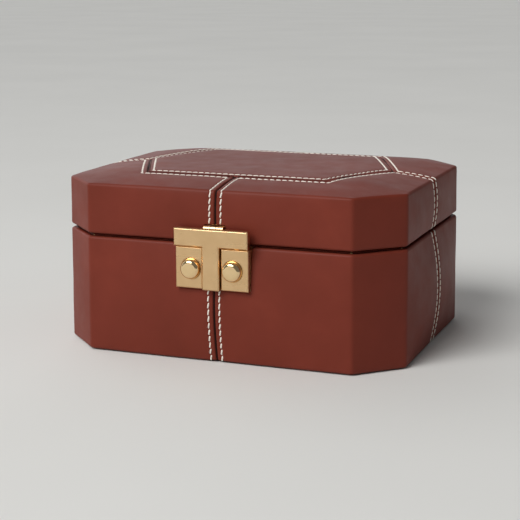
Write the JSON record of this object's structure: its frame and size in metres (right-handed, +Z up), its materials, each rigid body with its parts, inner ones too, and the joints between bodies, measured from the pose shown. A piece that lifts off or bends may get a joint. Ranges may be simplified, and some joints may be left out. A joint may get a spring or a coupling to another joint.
{
  "type": "leather jewellery case",
  "caption": "Octagonal padded leather jewellery case with stitched seams, a hinged lid with a mirror, a lift-out ring tray and a brass T-hasp lock with push buttons.",
  "frame": {"origin": "middle of the case, on the underside of the suede that it stands on", "axes": "+X along the front to the right end, +Y from the clasp to the hinges, +Z up"},
  "size_m": [0.2384, 0.2008, 0.1147],
  "materials": {
    "wood": "bare board",
    "leather": "smooth, semi-matt, padded",
    "seam_strip": "matt, dark",
    "suede": "suede nap",
    "ring_pad": "suede nap over soft filling",
    "ribbon": "woven ribbon",
    "satin_brass": "satin, pale gold",
    "polished_brass": "polished",
    "pin_steel": "gold-plated steel",
    "mirror_glass": "silvered glass"
  },
  "bodies": {
    "base": {"base_underlay": "suede", "base_board": "wood", "base_wall_front": "wood", "base_wall_back": "wood", "base_wall_left": "wood", "base_wall_right": "wood", "base_corner_walls": "wood", "base_cover_front_left": "leather", "base_cover_front_right": "leather", "base_cover_back_left": "leather", "base_cover_back_right": "leather", "base_seam_strips": "seam_strip", "base_lining_walls": "suede", "base_lining_floor": "suede", "base_divider_left": "suede", "base_divider_right": "suede", "tray_ledges": "suede", "hinge_leaf_base_left": "satin_brass", "hinge_leaf_base_right": "satin_brass", "hinge_pins": "pin_steel", "hinge_screws_base": "pin_steel", "lock_case": "satin_brass", "lock_plate_left": "satin_brass", "lock_plate_right": "satin_brass", "lock_case_screws": "pin_steel", "bolt_spring_left": "pin_steel", "bolt_spring_right": "pin_steel"},
    "lid": {"lid_top_board": "wood", "lid_wall_front": "wood", "lid_wall_back": "wood", "lid_wall_left": "wood", "lid_wall_right": "wood", "lid_corner_walls": "wood", "lid_cover_front_left": "leather", "lid_cover_front_right": "leather", "lid_cover_back_left": "leather", "lid_cover_back_right": "leather", "lid_top_panel": "leather", "lid_seam_strips": "seam_strip", "lid_lining_walls": "suede", "lid_lining_panel": "suede", "mirror": "mirror_glass", "hinge_leaf_lid_left": "satin_brass", "hinge_leaf_lid_right": "satin_brass", "hinge_screws_lid": "pin_steel", "hasp_bracket": "satin_brass", "hasp_hinge_pin": "pin_steel", "hasp_bracket_screws": "pin_steel"},
    "hasp": {"hasp_plate": "satin_brass", "hasp_tongue": "satin_brass"},
    "button_left": {"button_left": "polished_brass"},
    "button_right": {"button_right": "polished_brass"},
    "bolt_left": {"latch_bolt_left": "satin_brass"},
    "bolt_right": {"latch_bolt_right": "satin_brass"},
    "tray": {"tray_frame": "suede", "tray_floor": "suede", "tray_divider_long": "suede", "tray_dividers_cross": "suede", "ring_rolls": "ring_pad", "tray_pull_tabs": "ribbon"}
  },
  "joints": [
    {"name": "lid_hinge", "type": "hinge", "parent": "base", "child": "lid", "pos_m": [0, 0.095, 0.0756], "axis": [-1, 0, 0], "range_deg": [0, 95]},
    {"name": "hasp_hinge", "type": "hinge", "parent": "lid", "child": "hasp", "pos_m": [0, -0.0946, 0.0852], "axis": [-1, 0, 0], "range_deg": [0, 90]},
    {"name": "button_left_push", "type": "slide", "parent": "base", "child": "button_left", "axis": [0, 1, 0], "range_m": [0, 0.0016], "stiffness_N_per_m": 400, "springref_m": -0.0015},
    {"name": "button_right_push", "type": "slide", "parent": "base", "child": "button_right", "axis": [0, 1, 0], "range_m": [0, 0.0016], "stiffness_N_per_m": 400, "springref_m": -0.0015},
    {"name": "bolt_left_slide", "type": "slide", "parent": "base", "child": "bolt_left", "axis": [-1, 0, 0], "range_m": [0, 0.0016], "deforming": ["bolt_spring_left"]},
    {"name": "bolt_right_slide", "type": "slide", "parent": "base", "child": "bolt_right", "axis": [1, 0, 0], "range_m": [0, 0.0016], "deforming": ["bolt_spring_right"]},
    {"name": "tray_lift", "type": "slide", "parent": "base", "child": "tray", "axis": [0, 0, 1], "range_m": [0, 0.018]}
  ],
  "couplings": [
    {"joint": "bolt_left_slide", "follows": "button_left_push", "ratio": 1},
    {"joint": "bolt_right_slide", "follows": "button_right_push", "ratio": 1}
  ]
}
